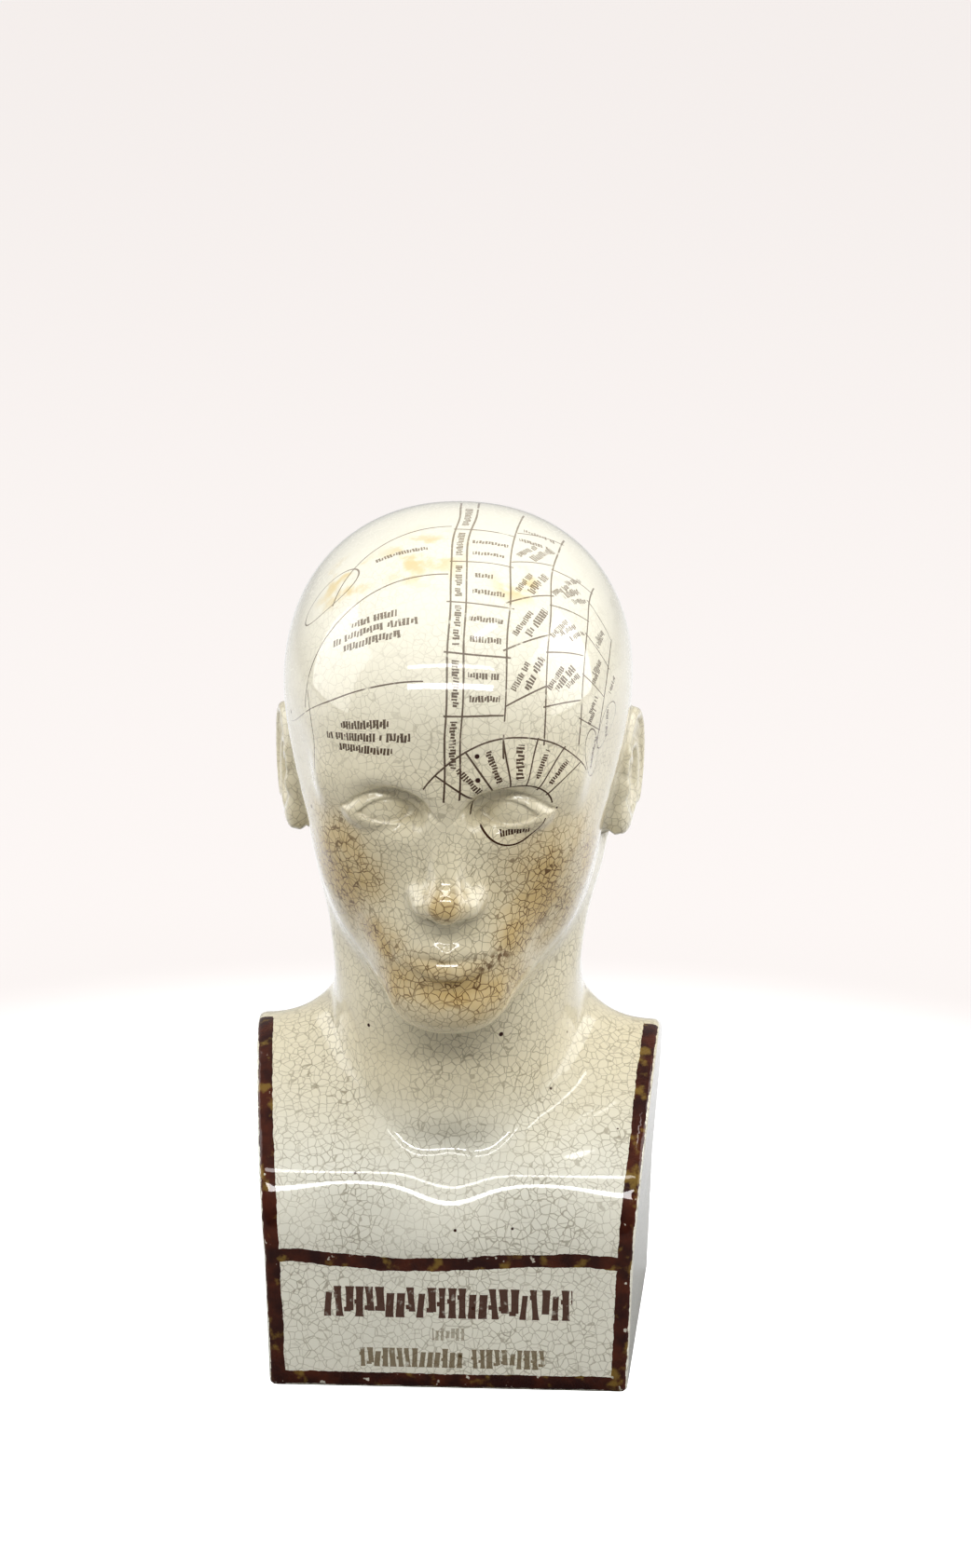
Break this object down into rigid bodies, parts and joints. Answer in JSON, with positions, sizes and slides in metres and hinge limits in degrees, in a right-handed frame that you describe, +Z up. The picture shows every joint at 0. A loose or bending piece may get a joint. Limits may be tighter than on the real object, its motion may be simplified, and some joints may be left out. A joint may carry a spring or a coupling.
{
  "type": "phrenology head",
  "caption": "Ceramic phrenology bust: bald head with a charted skull, calm blank-eyed face and full neck on a square-cut chest block with painted bands and a label panel.",
  "frame": {"origin": "centre of the flat underside, below the middle of the block's width, on the surface that it stands on", "axes": "+Z up to the crown, the face looks to -Y, +X to the viewer's right"},
  "size_m": [0.139, 0.1502, 0.2899],
  "materials": {
    "glaze": "glossy cream lead glaze over pale earthenware, crazed all over, with a printed brown chart on the skull and brown painted bands"
  },
  "bodies": {
    "root": {"bust": "glaze"}
  },
  "joints": []
}
